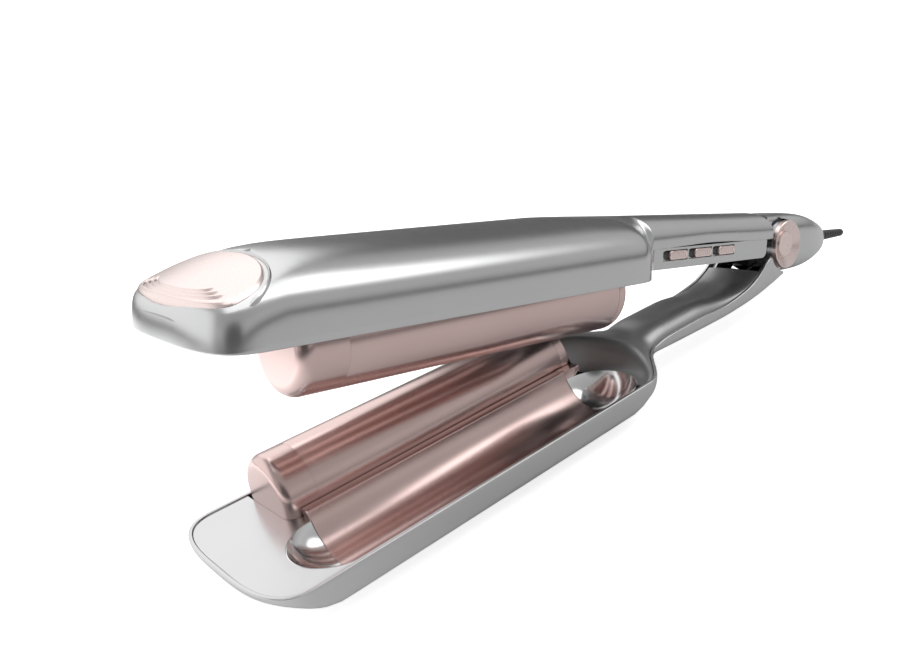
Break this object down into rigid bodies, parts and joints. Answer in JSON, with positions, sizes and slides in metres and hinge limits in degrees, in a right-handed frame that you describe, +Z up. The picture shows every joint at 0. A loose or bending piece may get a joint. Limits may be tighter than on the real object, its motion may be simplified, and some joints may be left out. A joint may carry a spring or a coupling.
{
  "type": "hair waver",
  "caption": "Hinged hair waver with S-shaped barrel-and-trough plates in two arms, side push buttons, dished hinge discs, thumb pad and swivel cord relief.",
  "frame": {"origin": "centre of the bounding box in X and Y, on the surface the lower arm rests on", "axes": "+Z up, -X from the hinge to the tips of the arms, -Y the side with the buttons"},
  "size_m": [0.322, 0.0592, 0.0859],
  "materials": {
    "silver_shell": "satin silver metallic lacquer",
    "rose_plate": "satin rose-gold coated aluminium",
    "rose_trim": "satin rose-gold metallic plating",
    "bright_scoop": "polished silver",
    "dark_plastic": "fine matt, dark grey",
    "steel": "plain steel",
    "heater_metal": "mill finish aluminium",
    "board": "green solder mask",
    "black_rubber": "semi-gloss moulded rubber",
    "wire_cover": "silicone wire cover"
  },
  "bodies": {
    "lower_arm": {"lower_casing": "silver_shell", "lower_deck": "silver_shell", "lower_fairing": "silver_shell", "lower_plate": "rose_plate", "lower_front_cap": "rose_plate", "lower_scoops": "bright_scoop", "lower_carrier": "dark_plastic", "lower_heaters": "heater_metal", "thermal_fuse": "steel", "hinge_fork": "steel", "hinge_pin": "steel", "hinge_discs": "rose_trim", "return_spring": "steel", "screws_lower": "steel"},
    "upper_arm": {"upper_casing": "silver_shell", "upper_deck": "silver_shell", "upper_plate": "rose_plate", "upper_end_caps": "rose_plate", "upper_carrier": "dark_plastic", "upper_heaters": "heater_metal", "upper_frame": "dark_plastic", "handle_base": "silver_shell", "thumb_pad": "rose_trim", "circuit_board": "board", "switches": "dark_plastic", "rear_housing": "silver_shell", "swivel_socket": "dark_plastic", "lead_wires": "wire_cover", "screws_upper": "steel"},
    "button_front": {"button_1": "rose_trim"},
    "button_middle": {"button_2": "rose_trim"},
    "button_rear": {"button_3": "rose_trim"},
    "cord_swivel": {"swivel_collar": "dark_plastic", "cord_boot": "black_rubber"}
  },
  "joints": [
    {"name": "arm_hinge", "type": "hinge", "parent": "lower_arm", "child": "upper_arm", "pos_m": [0.08895, 0, 0.0246], "axis": [0, 1, 0], "range_deg": [-11.22, 0], "stiffness_Nm_per_rad": 0.7, "springref_deg": 34.38, "deforming": ["return_spring"]},
    {"name": "button_front_press", "type": "slide", "parent": "upper_arm", "child": "button_front", "axis": [0, 1, 0], "range_m": [0, 0.0007], "stiffness_N_per_m": 800, "springref_m": -0.0003},
    {"name": "button_middle_press", "type": "slide", "parent": "upper_arm", "child": "button_middle", "axis": [0, 1, 0], "range_m": [0, 0.0007], "stiffness_N_per_m": 800, "springref_m": -0.0003},
    {"name": "button_rear_press", "type": "slide", "parent": "upper_arm", "child": "button_rear", "axis": [0, 1, 0], "range_m": [0, 0.0007], "stiffness_N_per_m": 800, "springref_m": -0.0003},
    {"name": "cord_swivel_turn", "type": "hinge", "parent": "upper_arm", "child": "cord_swivel", "pos_m": [0.12796, 0, 0.01564], "axis": [0.9809, 0, -0.1946], "continuous": true}
  ]
}
